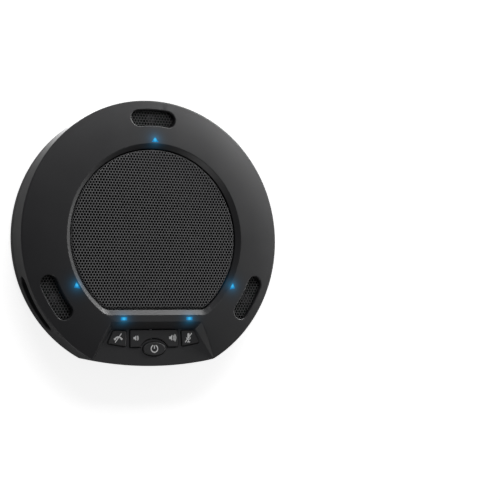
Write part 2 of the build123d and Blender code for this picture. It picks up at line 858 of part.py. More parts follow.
# ---------------------------------------------------------------- electronics
with BuildPart() as main_board:
    with BuildSketch(level(main_board_top - board_thickness)):
        with BuildLine():
            outer = CenterArc((0, 0), main_board_outer, main_board_start, main_board_end - main_board_start)
            inner = CenterArc((0, 0), main_board_inner, main_board_start, main_board_end - main_board_start)
            Line(outer @ 0, inner @ 0)
            Line(outer @ 1, inner @ 1)
        make_face()
        with Locations(board_posts):
            Circle(screw_clear, mode=Mode.SUBTRACT)
    extrude(amount=board_thickness)
save(main_board, "main_board")

with BuildPart() as board_screws:
    with BuildSketch(level(main_board_top)):
        with Locations(board_posts):
            Circle(screw_head)
    extrude(amount=screw_head_height)
    with BuildSketch(level(main_board_top - 6.0)):
        with Locations(board_posts):
            Circle(screw_shank)
    extrude(amount=6.0)
    with BuildSketch(level(button_board_top - board_thickness - screw_head_height)):
        with Locations(*board_screws_at):
            Circle(screw_head)
    extrude(amount=screw_head_height)
    with BuildSketch(level(button_board_top - board_thickness)):
        with Locations(*board_screws_at):
            Circle(screw_shank)
    extrude(amount=board_thickness + 3.6)
save(board_screws, "board_screws")

with BuildPart() as battery_pack:
    with BuildSketch(spoke(battery_angle, battery_radius, case_bottom + wall)):
        RectangleRounded(28, 50, 2)
    extrude(amount=battery_height)
    fillet(battery_pack.edges().group_by(Axis.Z)[-1], 1.2)
save(battery_pack, "battery_pack")

with BuildPart() as battery_strap:
    with BuildSketch(spoke(battery_angle, battery_radius, case_bottom + wall)):
        Rectangle(36, 8)
    extrude(amount=battery_height + 1.2)
    with BuildSketch(spoke(battery_angle, battery_radius, case_bottom + wall)):
        Rectangle(28.2, 9)
    extrude(amount=battery_height + 0.1, mode=Mode.SUBTRACT)
save(battery_strap, "battery_strap")

with BuildPart() as radio_module:
    with BuildSketch(spoke(radio_angle, 73.0, case_bottom + wall)):
        Rectangle(20, 38)
    extrude(amount=1.0)
    with BuildSketch(spoke(radio_angle, 70.0, case_bottom + wall + 1.0)):
        with Locations((0, 4)):
            Rectangle(11, 15)
    extrude(amount=2.2)
save(radio_module, "radio_module")

# ---------------------------------------------------------------- port bay
port_back_radius = port_face_radius - port_panel_thickness
power_jack_across = 15.0
usb_across = 4.3
line_jack_across = -6.2
headset_jack_across = -15.6
audio_bore_radius = 1.8

with BuildPart() as port_panel:
    with BuildSketch(outward(port_angle, port_back_radius, port_height)):
        RectangleRounded(port_bay_length + 5, port_bay_height + 3.4, 2)
        with Locations((power_jack_across, 0)):
            Circle(3.9, mode=Mode.SUBTRACT)
        with Locations((usb_across, 0)):
            RectangleRounded(9.0, 5.0, 1, mode=Mode.SUBTRACT)
        with Locations((line_jack_across, 0), (headset_jack_across, 0)):
            Circle(2.9, mode=Mode.SUBTRACT)
    extrude(amount=port_panel_thickness)
save(port_panel, "port_panel")

with BuildPart() as power_jack:
    with BuildSketch(outward(port_angle, port_back_radius, port_height, power_jack_across)):
        Rectangle(9, 8.8)
    extrude(amount=-11)
    with BuildSketch(outward(port_angle, port_back_radius, port_height, power_jack_across)):
        Circle(3.9)
    extrude(amount=port_panel_thickness)
    with BuildSketch(outward(port_angle, port_face_radius - 9, port_height, power_jack_across)):
        Circle(2.85)
        Circle(1.0, mode=Mode.SUBTRACT)
    extrude(amount=9, mode=Mode.SUBTRACT)
save(power_jack, "power_jack")

with BuildPart() as usb_socket:
    with BuildSketch(outward(port_angle, port_back_radius, port_height, usb_across)):
        Rectangle(9.0, 8.8)
    extrude(amount=-9)
    with BuildSketch(outward(port_angle, port_back_radius, port_height, usb_across)):
        RectangleRounded(9.0, 5.0, 1)
    extrude(amount=port_panel_thickness)
    with BuildSketch(outward(port_angle, port_face_radius - 6.5, port_height, usb_across)):
        RectangleRounded(7.8, 3.9, 0.6)
        Rectangle(5.0, 1.0, mode=Mode.SUBTRACT)
    extrude(amount=6.5, mode=Mode.SUBTRACT)
save(usb_socket, "usb_socket")

for role, across in {"line_jack": line_jack_across, "headset_jack": headset_jack_across}.items():
    with BuildPart() as audio_jack:
        with BuildSketch(outward(port_angle, port_back_radius, port_height, across)):
            Rectangle(7, 8.8)
        extrude(amount=-13)
        with BuildSketch(outward(port_angle, port_back_radius, port_height, across)):
            Circle(2.9)
        extrude(amount=port_panel_thickness)
        with BuildSketch(outward(port_angle, port_face_radius - 14, port_height, across)):
            Circle(audio_bore_radius)
        extrude(amount=14, mode=Mode.SUBTRACT)
    save(audio_jack, role)
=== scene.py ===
"""Looks of the conference speakerphone: perforated metal, lamps, key symbols, finishes and studio.

Everything is in metres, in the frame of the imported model: +Z up, +X right, +Y away from the user.
"""

import json
import math

import bmesh
import bpy
from mathutils import Matrix, Vector


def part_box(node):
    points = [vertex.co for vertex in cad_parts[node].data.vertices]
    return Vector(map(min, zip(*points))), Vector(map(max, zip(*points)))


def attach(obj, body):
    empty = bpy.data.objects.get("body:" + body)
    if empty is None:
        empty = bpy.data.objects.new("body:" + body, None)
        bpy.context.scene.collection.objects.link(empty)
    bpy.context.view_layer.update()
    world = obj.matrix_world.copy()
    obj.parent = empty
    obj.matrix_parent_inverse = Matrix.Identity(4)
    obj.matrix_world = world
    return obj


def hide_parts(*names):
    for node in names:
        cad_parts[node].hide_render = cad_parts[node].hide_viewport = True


bl_info = {
    "name": "Conference Speakerphone",
    "version": (1, 0, 0),
    "blender": (4, 5, 0),
    "location": "View3D > Sidebar > Speakerphone",
    "description": "Builds the looks of a tabletop conference speakerphone around its packed model",
    "category": "Object",
}

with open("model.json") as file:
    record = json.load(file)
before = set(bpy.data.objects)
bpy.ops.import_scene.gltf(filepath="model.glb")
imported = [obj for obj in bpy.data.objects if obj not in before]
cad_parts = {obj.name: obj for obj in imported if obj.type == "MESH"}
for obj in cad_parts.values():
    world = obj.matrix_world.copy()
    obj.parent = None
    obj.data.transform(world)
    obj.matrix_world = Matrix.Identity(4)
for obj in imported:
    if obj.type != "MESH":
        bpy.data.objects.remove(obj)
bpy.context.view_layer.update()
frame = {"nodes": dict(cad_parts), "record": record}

MM = 0.001
# Direction of each microphone slot from the case axis, in degrees, and the slots' shape.
MIC_ANGLES = {"back": 90.0, "left": 210.0, "right": 330.0}
MIC_RADIUS = 87.0 * MM
MIC_HALF_WIDTH = 6.9 * MM
LAMPS = tuple(f"lamp_lens_{side}" for side in (*MIC_ANGLES, "front_left", "front_right"))
# Distance over which a lens darkens from its middle, and over which the glow painted on the case
# around it fades.
LAMP_CORE_REACH = 1.9 * MM
LAMP_SPILL_REACH = 2.4 * MM


def middle(node):
    """Centre of a node's box."""
    low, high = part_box(node)
    return (low + high) / 2


def top_of(node):
    """Height of a node's highest point."""
    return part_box(node)[1].z


# The grille's round part is centred on the case axis.
GRILLE_LOW, GRILLE_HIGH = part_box("speaker_grille")
GRILLE_RADIUS = (GRILLE_HIGH.x - GRILLE_LOW.x) / 2
CASE_AXIS = Vector((0, GRILLE_HIGH.y - GRILLE_RADIUS, 0))
FACE_EDGE_HEIGHT = 31.5 * MM

# The port bay faces this way, with the front of its panel this far from the case axis.
PORT_ANGLE = 209.25
PORT_FACE_RADIUS = 89.5 * MM
# Socket, inner and outer radius and depth of its metal collar, in millimetres.
COLLARS = (
    ("line_jack", 1.83, 2.7, 3.0),
    ("headset_jack", 1.83, 2.7, 3.0),
    ("power_jack", 2.87, 3.6, 2.0),
)


# ------------------------------------------------------------------ sizes and colours
class PerforatedMetal(bpy.types.PropertyGroup):
    """Sizes of the perforated sheets."""

    pitch: bpy.props.FloatProperty(
        name="Hole pitch", description="Distance between neighbouring holes", default=2.24 * MM,
        min=1.0 * MM, unit="LENGTH", precision=5,
    )
    hole_radius: bpy.props.FloatProperty(
        name="Hole radius", description="Radius of each punched hole", default=0.94 * MM,
        min=0.2 * MM, unit="LENGTH", precision=5,
    )
    thickness: bpy.props.FloatProperty(
        name="Sheet thickness", description="Thickness of the steel sheet", default=0.35 * MM,
        min=0.1 * MM, unit="LENGTH", precision=5,
    )
    bend: bpy.props.FloatProperty(
        name="Edge bend", description="Radius over which the grille's edge turns down",
        default=1.8 * MM, min=0.2 * MM, unit="LENGTH", precision=5,
    )
    corner: bpy.props.FloatProperty(
        name="Corner", description="Rounding of the grille's two front corners", default=8.0 * MM,
        min=1.0 * MM, unit="LENGTH", precision=5,
    )
    skirt: bpy.props.FloatProperty(
        name="Skirt", description="Length of the straight part below the bend", default=0.9 * MM,
        min=0.0, unit="LENGTH", precision=5,
    )


class SymbolSizes(bpy.types.PropertyGroup):
    """Sizes of the printed key symbols."""

    height: bpy.props.FloatProperty(
        name="Symbol height", description="Size of the square that a symbol is drawn in",
        default=6.4 * MM, unit="LENGTH", precision=5,
    )
    stroke: bpy.props.FloatProperty(
        name="Stroke", description="Width of a printed line", default=0.62 * MM,
        unit="LENGTH", precision=5,
    )
    ink: bpy.props.FloatProperty(
        name="Ink thickness", description="Thickness of the printed ink", default=0.03 * MM,
        unit="LENGTH", precision=6,
    )


class Colours(bpy.types.PropertyGroup):
    """Colours of the main finishes."""

    case: bpy.props.FloatVectorProperty(
        name="Case", description="Charcoal of the moulded case", subtype="COLOR", size=4,
        default=(0.022, 0.022, 0.0245, 1.0), min=0.0, max=1.0,
    )
    keys: bpy.props.FloatVectorProperty(
        name="Keys", description="Charcoal of the keys", subtype="COLOR", size=4,
        default=(0.024, 0.024, 0.026, 1.0), min=0.0, max=1.0,
    )
    grille: bpy.props.FloatVectorProperty(
        name="Grille", description="Coating of the perforated steel", subtype="COLOR", size=4,
        default=(0.185, 0.185, 0.190, 1.0), min=0.0, max=1.0,
    )
    # Painted shade: the three small grilles are the same steel sheet as the loudspeaker grille,
    # given this darker colour for the shade of the slots they sit in.
    mic_mesh: bpy.props.FloatVectorProperty(
        name="Microphone mesh", description="Coating of the three small grilles", subtype="COLOR",
        size=4, default=(0.085, 0.085, 0.088, 1.0), min=0.0, max=1.0,
    )
    lamp_core: bpy.props.FloatVectorProperty(
        name="Lamp core", description="Colour in the middle of a lit lamp", subtype="COLOR", size=4,
        default=(0.035, 0.42, 0.74, 1.0), min=0.0, max=1.0,
    )
    lamp_edge: bpy.props.FloatVectorProperty(
        name="Lamp edge", description="Colour at the rim of a lit lamp", subtype="COLOR", size=4,
        default=(0.0, 0.14, 0.34, 1.0), min=0.0, max=1.0,
    )
    # Painted light: colour of the glow painted on the case around each lamp.
    lamp_spill: bpy.props.FloatVectorProperty(
        name="Lamp spill", description="Light that a lamp throws on the case around it",
        subtype="COLOR", size=4, default=(0.0, 0.17, 0.34, 1.0), min=0.0, max=1.0,
    )
    symbols: bpy.props.FloatVectorProperty(
        name="Symbols", description="Printed ink of the key symbols", subtype="COLOR", size=4,
        default=(0.85, 0.85, 0.85, 1.0), min=0.0, max=1.0,
    )


class StudioSettings(bpy.types.PropertyGroup):
    """Camera and lights."""

    yaw: bpy.props.FloatProperty(
        name="Yaw", description="How far the camera stands to the left of straight above",
        default=math.radians(26.9), subtype="ANGLE",
    )
    pitch: bpy.props.FloatProperty(
        name="Pitch", description="How far the camera leans towards the user's side",
        default=math.radians(-3.3), subtype="ANGLE",
    )
    roll: bpy.props.FloatProperty(
        name="Roll", description="Turn of the picture", default=math.radians(0.7), subtype="ANGLE",
    )
    distance: bpy.props.FloatProperty(
        name="Distance", description="Camera to face centre", default=1.18, unit="LENGTH",
    )
    across: bpy.props.FloatProperty(
        name="Across", description="Face centre, right of the picture's centre", default=-70.1 * MM,
        unit="LENGTH",
    )
    up: bpy.props.FloatProperty(
        name="Up", description="Face centre, above the picture's centre", default=8.7 * MM,
        unit="LENGTH",
    )
    lens: bpy.props.FloatProperty(name="Lens", description="Focal length in mm", default=117.5)
    floor_white: bpy.props.FloatProperty(
        name="Floor white", description="Glow of the floor in the picture", default=0.82,
    )
    floor_glow: bpy.props.FloatProperty(
        name="Floor glow", description="Glow of the floor in the object's gloss", default=0.04,
    )
    patch: bpy.props.FloatVectorProperty(
        name="Bright patch", description="Place of the floor's bright patch", subtype="TRANSLATION",
        default=(-0.048, 0.100, 0.0),
    )
    patch_glow: bpy.props.FloatProperty(
        name="Patch glow", description="Extra glow of the bright patch in the object's gloss",
        default=18.0,
    )
    patch_reach: bpy.props.FloatProperty(
        name="Patch reach", description="Distance over which the bright patch fades",
        default=13.0 * MM, unit="LENGTH",
    )
    room_glow: bpy.props.FloatProperty(
        name="Room glow", description="Even light from all around", default=0.125,
    )


# ------------------------------------------------------------------ mesh helpers
def finish_mesh(bm, name, smooth=True):
    """Turn a bmesh into an object at the origin, faces outward."""
    bmesh.ops.remove_doubles(bm, verts=bm.verts, dist=1e-7)
    bmesh.ops.recalc_face_normals(bm, faces=bm.faces)
    mesh = bpy.data.meshes.new(name)
    bm.to_mesh(mesh)
    bm.free()
    piece = bpy.data.objects.new(name, mesh)
    bpy.context.scene.collection.objects.link(piece)
    for face in mesh.polygons:
        face.use_smooth = smooth
    return piece


def thicken(piece, thickness):
    """Give a sheet its thickness, below its surface."""
    walls = piece.modifiers.new("sheet", "SOLIDIFY")
    walls.thickness = thickness
    walls.offset = -1


def raise_faces(bm, height, keep=True):
    """Extrude every face upward and return the raised vertices."""
    raised = bmesh.ops.extrude_face_region(bm, geom=list(bm.faces), use_keep_orig=keep)
    tops = [v for v in raised["geom"] if isinstance(v, bmesh.types.BMVert)]
    bmesh.ops.translate(bm, vec=(0, 0, height), verts=tops)
    return tops


def turn_round(bm, verts, edges, centre, steps):
    """Spin an outline a full turn about an upright axis."""
    bmesh.ops.spin(
        bm, geom=verts + edges, cent=centre, axis=(0, 0, 1), angle=math.tau, steps=steps,
        use_merge=True,
    )


def dress(piece, body, material):
    """Give a new piece its body and finish."""
    piece.data.materials.clear()
    piece.data.materials.append(material)
    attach(piece, body)


def perforated_sheet(holds, reach_x, reach_y, centre, turn, sizes):
    """Flat sheet of hexagonal cells, each with a round hole, wherever holds(x, y) is true."""
    first_inset = 0.25
    corner_cut = 0.27
    bm = bmesh.new()
    tag = bm.verts.layers.float_vector.new("cell_middle")
    row_gap = sizes.pitch * math.sqrt(3) / 2
    rows = int(reach_y / row_gap) + 2
    columns = int(reach_x / sizes.pitch) + 2
    cell_radius = sizes.pitch / math.sqrt(3)
    centres = []
    for row in range(-rows, rows + 1):
        for column in range(-columns, columns + 1):
            x = (column + 0.5 * (row % 2)) * sizes.pitch
            y = row * row_gap
            if holds(x, y):
                centres.append((x, y))
    for x, y in centres:
        place = Matrix.Translation((x, y, 0))
        bmesh.ops.create_circle(bm, cap_ends=True, radius=cell_radius, segments=6, matrix=place)
    cells = list(bm.faces)
    bmesh.ops.inset_individual(
        bm, faces=cells, thickness=cell_radius * first_inset, use_even_offset=True
    )
    for cell in cells:
        cell_middle = cell.calc_center_median()
        for v in cell.verts:
            v[tag] = (cell_middle.x, cell_middle.y, 1.0)
    corners = [v for cell in cells for v in cell.verts]
    bmesh.ops.delete(bm, geom=cells, context="FACES_ONLY")
    # Cutting the corners makes each hexagonal hole twelve-sided, then it is drawn round.
    bmesh.ops.bevel(
        bm, geom=corners, offset=sizes.hole_radius * corner_cut, offset_type="OFFSET",
        affect="VERTICES", segments=1, profile=0.5, material=-1,
    )
    for v in bm.verts:
        if v[tag].z > 0.5:
            hub = Vector((v[tag].x, v[tag].y, 0))
            v.co = hub + (v.co - hub).normalized() * sizes.hole_radius
    bmesh.ops.remove_doubles(bm, verts=bm.verts, dist=sizes.pitch * 0.02)
    bmesh.ops.transform(bm, matrix=Matrix.Rotation(turn, 4, "Z"), verts=bm.verts)
    bmesh.ops.translate(bm, vec=centre, verts=bm.verts)
    return bm


# ------------------------------------------------------------------ node helpers
def link(tree, source, target):
    tree.links.new(source, target)


def math_node(tree, operation, first, second=None):
    """Math node whose inputs are numbers or sockets."""
    node = tree.nodes.new("ShaderNodeMath")
    node.operation = operation
    for index, value in enumerate((first, second)):
        if value is None:
            continue
        if isinstance(value, (int, float)):
            node.inputs[index].default_value = value
        else:
            link(tree, value, node.inputs[index])
    return node.outputs[0]


def new_group(name, inputs, outputs):
    """Empty shader group with named sockets."""
    tree = bpy.data.node_groups.new(name, "ShaderNodeTree")
    for socket, kind, default in inputs:
        made = tree.interface.new_socket(name=socket, in_out="INPUT", socket_type=kind)
        made.default_value = default
    for socket, kind in outputs:
        tree.interface.new_socket(name=socket, in_out="OUTPUT", socket_type=kind)
    return tree, tree.nodes.new("NodeGroupInput"), tree.nodes.new("NodeGroupOutput")


def group_node(tree, name, build):
    """Node that holds the named group, which is built the first time it is asked for."""
    node = tree.nodes.new("ShaderNodeGroup")
    node.node_tree = bpy.data.node_groups.get(name) or build(name)
    return node


def build_moulded_grain(name):
    """Spark-eroded mould texture with slow tone and gloss drift."""
    tree, given, result = new_group(
        name,
        [
            ("Colour", "NodeSocketColor", (0.5, 0.5, 0.5, 1)),
            ("Roughness", "NodeSocketFloat", 0.5),
            ("Grain Size", "NodeSocketFloat", 0.0006),
            ("Drift", "NodeSocketFloat", 0.1),
        ],
        [
            ("Colour", "NodeSocketColor"),
            ("Roughness", "NodeSocketFloat"),
            ("Height", "NodeSocketFloat"),
        ],
    )
    where = tree.nodes.new("ShaderNodeTexCoord")
    fine = tree.nodes.new("ShaderNodeTexNoise")
    fine.inputs["Detail"].default_value = 2.0
    link(tree, where.outputs["Object"], fine.inputs["Vector"])
    link(tree, math_node(tree, "DIVIDE", 1.0, given.outputs["Grain Size"]), fine.inputs["Scale"])
    slow = tree.nodes.new("ShaderNodeTexNoise")
    slow.inputs["Scale"].default_value = 34.0
    slow.inputs["Detail"].default_value = 3.0
    link(tree, where.outputs["Object"], slow.inputs["Vector"])
    centred = math_node(tree, "SUBTRACT", slow.outputs["Fac"], 0.5)
    drift = math_node(tree, "MULTIPLY", centred, given.outputs["Drift"])
    tone = math_node(tree, "ADD", drift, 1.0)
    shade = tree.nodes.new("ShaderNodeVectorMath")
    shade.operation = "SCALE"
    link(tree, given.outputs["Colour"], shade.inputs[0])
    link(tree, tone, shade.inputs["Scale"])
    link(tree, shade.outputs["Vector"], result.inputs["Colour"])
    fine_centred = math_node(tree, "SUBTRACT", fine.outputs["Fac"], 0.5)
    sparkle = math_node(tree, "MULTIPLY", fine_centred, 0.12)
    speckled = math_node(tree, "ADD", given.outputs["Roughness"], sparkle)
    link(tree, math_node(tree, "ADD", speckled, drift), result.inputs["Roughness"])
    link(tree, fine.outputs["Fac"], result.inputs["Height"])
    return tree


def build_lamp_distance(name):
    """Distance from the nearest lamp, as a multiple of the given size."""
    tree, given, result = new_group(
        name, [("Size", "NodeSocketFloat", 1.0)], [("Distance", "NodeSocketFloat")]
    )
    where = tree.nodes.new("ShaderNodeTexCoord")
    nearest = None
    for lamp in LAMPS:
        gap = tree.nodes.new("ShaderNodeVectorMath")
        gap.operation = "DISTANCE"
        spot = middle(lamp)
        link(tree, where.outputs["Object"], gap.inputs[0])
        gap.inputs[1].default_value = (spot.x, spot.y, top_of(lamp))
        away = gap.outputs["Value"]
        nearest = away if nearest is None else math_node(tree, "MINIMUM", nearest, away)
    link(tree, math_node(tree, "DIVIDE", nearest, given.outputs["Size"]), result.inputs["Distance"])
    return tree


def new_material(name):
    """Material with one Principled shader; returns it with its tree and shader."""
    material = bpy.data.materials.new(f"{name}_finish")
    material.use_nodes = True
    tree = material.node_tree
    return material, tree, tree.nodes["Principled BSDF"]


def moulded(name, colour, roughness, grain=0.0006, drift=0.15, bump=0.04, specular=0.5):
    """Moulded plastic, rubber or coated metal with a fine grain."""
    material, tree, shader = new_material(name)
    grain_node = group_node(tree, "moulded_grain", build_moulded_grain)
    grain_node.inputs["Colour"].default_value = colour
    grain_node.inputs["Roughness"].default_value = roughness
    grain_node.inputs["Grain Size"].default_value = grain
    grain_node.inputs["Drift"].default_value = drift
    relief = tree.nodes.new("ShaderNodeBump")
    relief.inputs["Strength"].default_value = bump
    relief.inputs["Distance"].default_value = 0.4 * MM
    link(tree, grain_node.outputs["Height"], relief.inputs["Height"])
    link(tree, grain_node.outputs["Colour"], shader.inputs["Base Color"])
    link(tree, grain_node.outputs["Roughness"], shader.inputs["Roughness"])
    link(tree, relief.outputs["Normal"], shader.inputs["Normal"])
    shader.inputs["Specular IOR Level"].default_value = specular
    return material


def case_plastic(name, colours):
    """Charcoal case plastic with the lamps' spill painted on it as a glow that fades away from each
    lamp.
    """
    material = moulded(name, colours.case, 0.46, grain=0.0005, drift=0.12, bump=0.05)
    tree = material.node_tree
    shader = tree.nodes["Principled BSDF"]
    reach = group_node(tree, "lamp_distance", build_lamp_distance)
    reach.inputs["Size"].default_value = LAMP_SPILL_REACH
    # Painted light: the case glows in the lamp spill colour, fading away from the nearest lamp.
    fade = math_node(tree, "POWER", math.exp(-1), reach.outputs["Distance"])
    spill = tree.nodes.new("ShaderNodeVectorMath")
    spill.operation = "SCALE"
    spill.inputs[0].default_value = colours.lamp_spill[:3]
    link(tree, fade, spill.inputs["Scale"])
    link(tree, spill.outputs["Vector"], shader.inputs["Emission Color"])
    shader.inputs["Emission Strength"].default_value = 1.0
    return material


def lamp_material(name, colours):
    """Lit lens, pale in its middle and deep blue at its rim."""
    material, tree, shader = new_material(name)
    reach = group_node(tree, "lamp_distance", build_lamp_distance)
    reach.inputs["Size"].default_value = LAMP_CORE_REACH
    mix = tree.nodes.new("ShaderNodeMix")
    mix.data_type = "RGBA"
    mix.inputs[6].default_value = colours.lamp_core
    mix.inputs[7].default_value = colours.lamp_edge
    link(tree, math_node(tree, "MINIMUM", reach.outputs["Distance"], 1.0), mix.inputs[0])
    link(tree, mix.outputs[2], shader.inputs["Emission Color"])
    link(tree, mix.outputs[2], shader.inputs["Base Color"])
    shader.inputs["Emission Strength"].default_value = 1.0
    shader.inputs["Roughness"].default_value = 0.25
    return material


def metal(name, colour, roughness, grain):
    """Bare or plated metal with slight gloss drift."""
    material = moulded(name, colour, roughness, grain=grain, drift=0.2, bump=0.05)
    material.node_tree.nodes["Principled BSDF"].inputs["Metallic"].default_value = 1.0
    return material


def finish_table(colours):
    """One material for each slot of the record, and the inks and contacts that are new here."""
    # Name, colour, roughness and what differs from the plain moulded finish.
    mouldings = (
        ("base_plastic", (0.022, 0.022, 0.024, 1), 0.5, {"grain": 0.0007}),
        ("foot_rubber", (0.018, 0.018, 0.019, 1), 0.72, {"grain": 0.0009, "specular": 0.3}),
        ("grille_steel", colours.grille, 0.48, {"grain": 0.0004}),
        # The microphone meshes take the darker, painted-shade copy of the grille's colour.
        ("mic_mesh_steel", colours.mic_mesh, 0.48, {"grain": 0.0004}),
        # The next five parts sit behind the loudspeaker grille: black parts, drawn near black and
        # dull, darker than such parts are, as painted shade so that the grille's holes read black.
        ("inner_plastic", (0.003, 0.003, 0.003, 1), 0.85, {"specular": 0.08}),
        ("basket_steel", (0.005, 0.005, 0.005, 1), 0.7, {"specular": 0.1}),
        ("surround_rubber", (0.004, 0.004, 0.004, 1), 0.6, {"specular": 0.12}),
        (
            "cone_paper", (0.005, 0.005, 0.005, 1), 0.9,
            {"grain": 0.0012, "bump": 0.3, "specular": 0.08},
        ),
        ("dust_cap_plastic", (0.004, 0.004, 0.004, 1), 0.7, {"specular": 0.1}),
        ("spider_fabric", (0.42, 0.27, 0.1, 1), 0.85, {"grain": 0.0007, "bump": 0.5}),
        ("magnet_ceramic", (0.07, 0.07, 0.075, 1), 0.6, {}),
        # Painted shade: the board seen through the microphone meshes is drawn darker than a board
        # is, for the shade inside the slots.
        ("board_laminate", (0.006, 0.014, 0.010, 1), 0.4, {"specular": 0.3}),
        ("battery_sleeve", (0.02, 0.08, 0.26, 1), 0.25, {}),
        ("port_plastic", (0.014, 0.014, 0.015, 1), 0.5, {}),
        ("socket_plastic", (0.012, 0.012, 0.013, 1), 0.35, {}),
        ("button_plastic", colours.keys, 0.42, {"grain": 0.0005}),
        ("switch_plastic", (0.02, 0.02, 0.02, 1), 0.5, {}),
        ("symbol_ink", colours.symbols, 0.5, {"drift": 0.1, "bump": 0.0}),
        ("power_ink", (0.95, 0.95, 0.95, 1), 0.45, {"drift": 0.05, "bump": 0.0}),
    )
    # Name, colour, roughness and size of the grain.
    metals = (
        ("screw_steel", (0.08, 0.08, 0.085, 1), 0.38, 0.0008),
        ("coil_copper", (0.75, 0.33, 0.16, 1), 0.3, 0.0003),
        ("plated_steel", (0.55, 0.55, 0.57, 1), 0.32, 0.0008),
        # Painted shade: the capsules behind the microphone meshes are drawn far darker than bare
        # aluminium, for the shade inside the slots.
        ("capsule_aluminium", (0.10, 0.10, 0.105, 1), 0.45, 0.0008),
        ("contact_gilt", (0.85, 0.6, 0.22, 1), 0.25, 0.0003),
    )
    finishes = {
        "charcoal_plastic": case_plastic("charcoal_plastic", colours),
        "lamp_lens": lamp_material("lamp_lens", colours),
    }
    for name, colour, roughness, detail in mouldings:
        finishes[name] = moulded(name, colour, roughness, **detail)
    for name, colour, roughness, grain in metals:
        finishes[name] = metal(name, colour, roughness, grain)
    return finishes


def finish_named(name):
    """Material made earlier by the finishes operator."""
    return bpy.data.materials[f"{name}_finish"]


# ------------------------------------------------------------------ key symbols
def ink_lift(bm):
    """Each stroke lies a hair above the ones before it, so crossing strokes share no face."""
    return len(bm.faces) * 0.0004 * MM


def ink_bar(bm, start, end, width):
    """Flat printed line between two points."""
    start, end = Vector(start), Vector(end)
    along = end - start
    place = Matrix.Translation(((start + end) / 2).to_3d() + Vector((0, 0, ink_lift(bm))))
    place = place @ Matrix.Rotation(math.atan2(along.y, along.x), 4, "Z")
    place = place @ Matrix.Diagonal((along.length, width, 1, 1))
    bmesh.ops.create_grid(bm, x_segments=1, y_segments=1, size=0.5, matrix=place)


def ink_arc(bm, centre, radius, width, start, sweep, steps):
    """Flat printed arc: a short radial edge spun round a centre. Angles in degrees."""
    turn = Matrix.Rotation(math.radians(start), 3, "Z")
    hub = Vector((centre[0], centre[1], ink_lift(bm)))
    ends = [
        bm.verts.new(hub + turn @ Vector((radius + side * width / 2, 0, 0))) for side in (-1, 1)
    ]
    edge = bm.edges.new(ends)
    bmesh.ops.spin(
        bm, geom=ends + [edge], cent=hub, axis=(0, 0, 1), angle=math.radians(sweep), steps=steps,
        use_merge=False,
    )


def ink_disc(bm, centre, radius):
    """Filled printed circle."""
    place = Matrix.Translation((centre[0], centre[1], ink_lift(bm)))
    bmesh.ops.create_circle(bm, cap_ends=True, radius=radius, segments=24, matrix=place)


def draw_power(bm, size, stroke):
    """Broken ring with a bar."""
    ink_arc(bm, (0, 0), size * 0.40, stroke * 1.25, 112, 316, 32)
    ink_bar(bm, (0, 0), (0, size * 0.36), stroke * 1.1)


def draw_loudspeaker(bm, size, stroke, waves):
    """Loudspeaker with sound waves to its right."""
    left = -size * 0.34
    ink_bar(bm, (left, 0), (left + size * 0.16, 0), size * 0.26)
    funnel = left + size * 0.16
    step = size * 0.045
    for index in range(4):
        x = funnel + (index + 0.5) * step
        ink_bar(bm, (x - step / 2, 0), (x + step / 2, 0), size * (0.30 + 0.10 * index))
    for index in range(waves):
        ink_arc(bm, (funnel, 0), size * (0.34 + 0.13 * index), stroke * 0.9, -38, 76, 10)


def draw_volume_down(bm, size, stroke):
    """Quiet loudspeaker."""
    draw_loudspeaker(bm, size, stroke, waves=2)


def draw_volume_up(bm, size, stroke):
    """Loud loudspeaker."""
    draw_loudspeaker(bm, size, stroke, waves=3)


def draw_hang_up(bm, size, stroke):
    """Handset lying down, struck through."""
    ink_arc(bm, (0, -size * 0.30), size * 0.40, stroke * 1.7, 32, 116, 18)
    for side in (-1, 1):
        outer, inner = side * size * 0.40, side * size * 0.30
        ink_bar(bm, (outer, -size * 0.02), (inner, -size * 0.18), stroke * 2.2)
    ink_bar(bm, (-size * 0.34, -size * 0.44), (size * 0.34, size * 0.44), stroke * 1.1)


def draw_microphone(bm, size, stroke):
    """Microphone on its stand, struck through."""
    ink_bar(bm, (0, size * 0.04), (0, size * 0.34), size * 0.22)
    ink_disc(bm, (0, size * 0.35), size * 0.11)
    ink_disc(bm, (0, size * 0.03), size * 0.11)
    ink_arc(bm, (0, size * 0.04), size * 0.20, stroke * 0.9, 180, 180, 14)
    ink_bar(bm, (0, -size * 0.16), (0, -size * 0.36), stroke)
    ink_bar(bm, (-size * 0.17, -size * 0.38), (size * 0.17, -size * 0.38), stroke)
    ink_bar(bm, (-size * 0.34, -size * 0.40), (size * 0.34, size * 0.44), stroke * 1.1)


def place_symbol(name, draw, spot, body, material, sizes, scale):
    """Draw a symbol, thicken it to ink and lay it on a key."""
    bm = bmesh.new()
    draw(bm, sizes.height * scale, sizes.stroke)
    bmesh.ops.reverse_faces(bm, faces=[f for f in bm.faces if f.normal.z < 0])
    raise_faces(bm, sizes.ink)
    bmesh.ops.translate(bm, vec=spot, verts=bm.verts)
    dress(finish_mesh(bm, name, smooth=False), body, material)


# Piece, drawing, key, place from the case axis in millimetres, body, ink and scale.
KEY_SYMBOLS = (
    (
        "hang_up_symbol", draw_hang_up, "hang_up_button", (-28.0, -72.0), "hang_up",
        "symbol_ink", 1.15,
    ),
    ("mute_symbol", draw_microphone, "mute_button", (27.0, -72.4), "mute", "symbol_ink", 1.2),
    (
        "volume_down_symbol", draw_volume_down, "volume_rocker", (-14.3, -72.2), "volume",
        "symbol_ink", 0.95,
    ),
    (
        "volume_up_symbol", draw_volume_up, "volume_rocker", (14.0, -72.2), "volume",
        "symbol_ink", 1.1,
    ),
    ("power_symbol", draw_power, "power_button", (0.0, -79.9), "power", "power_ink", 1.0),
)


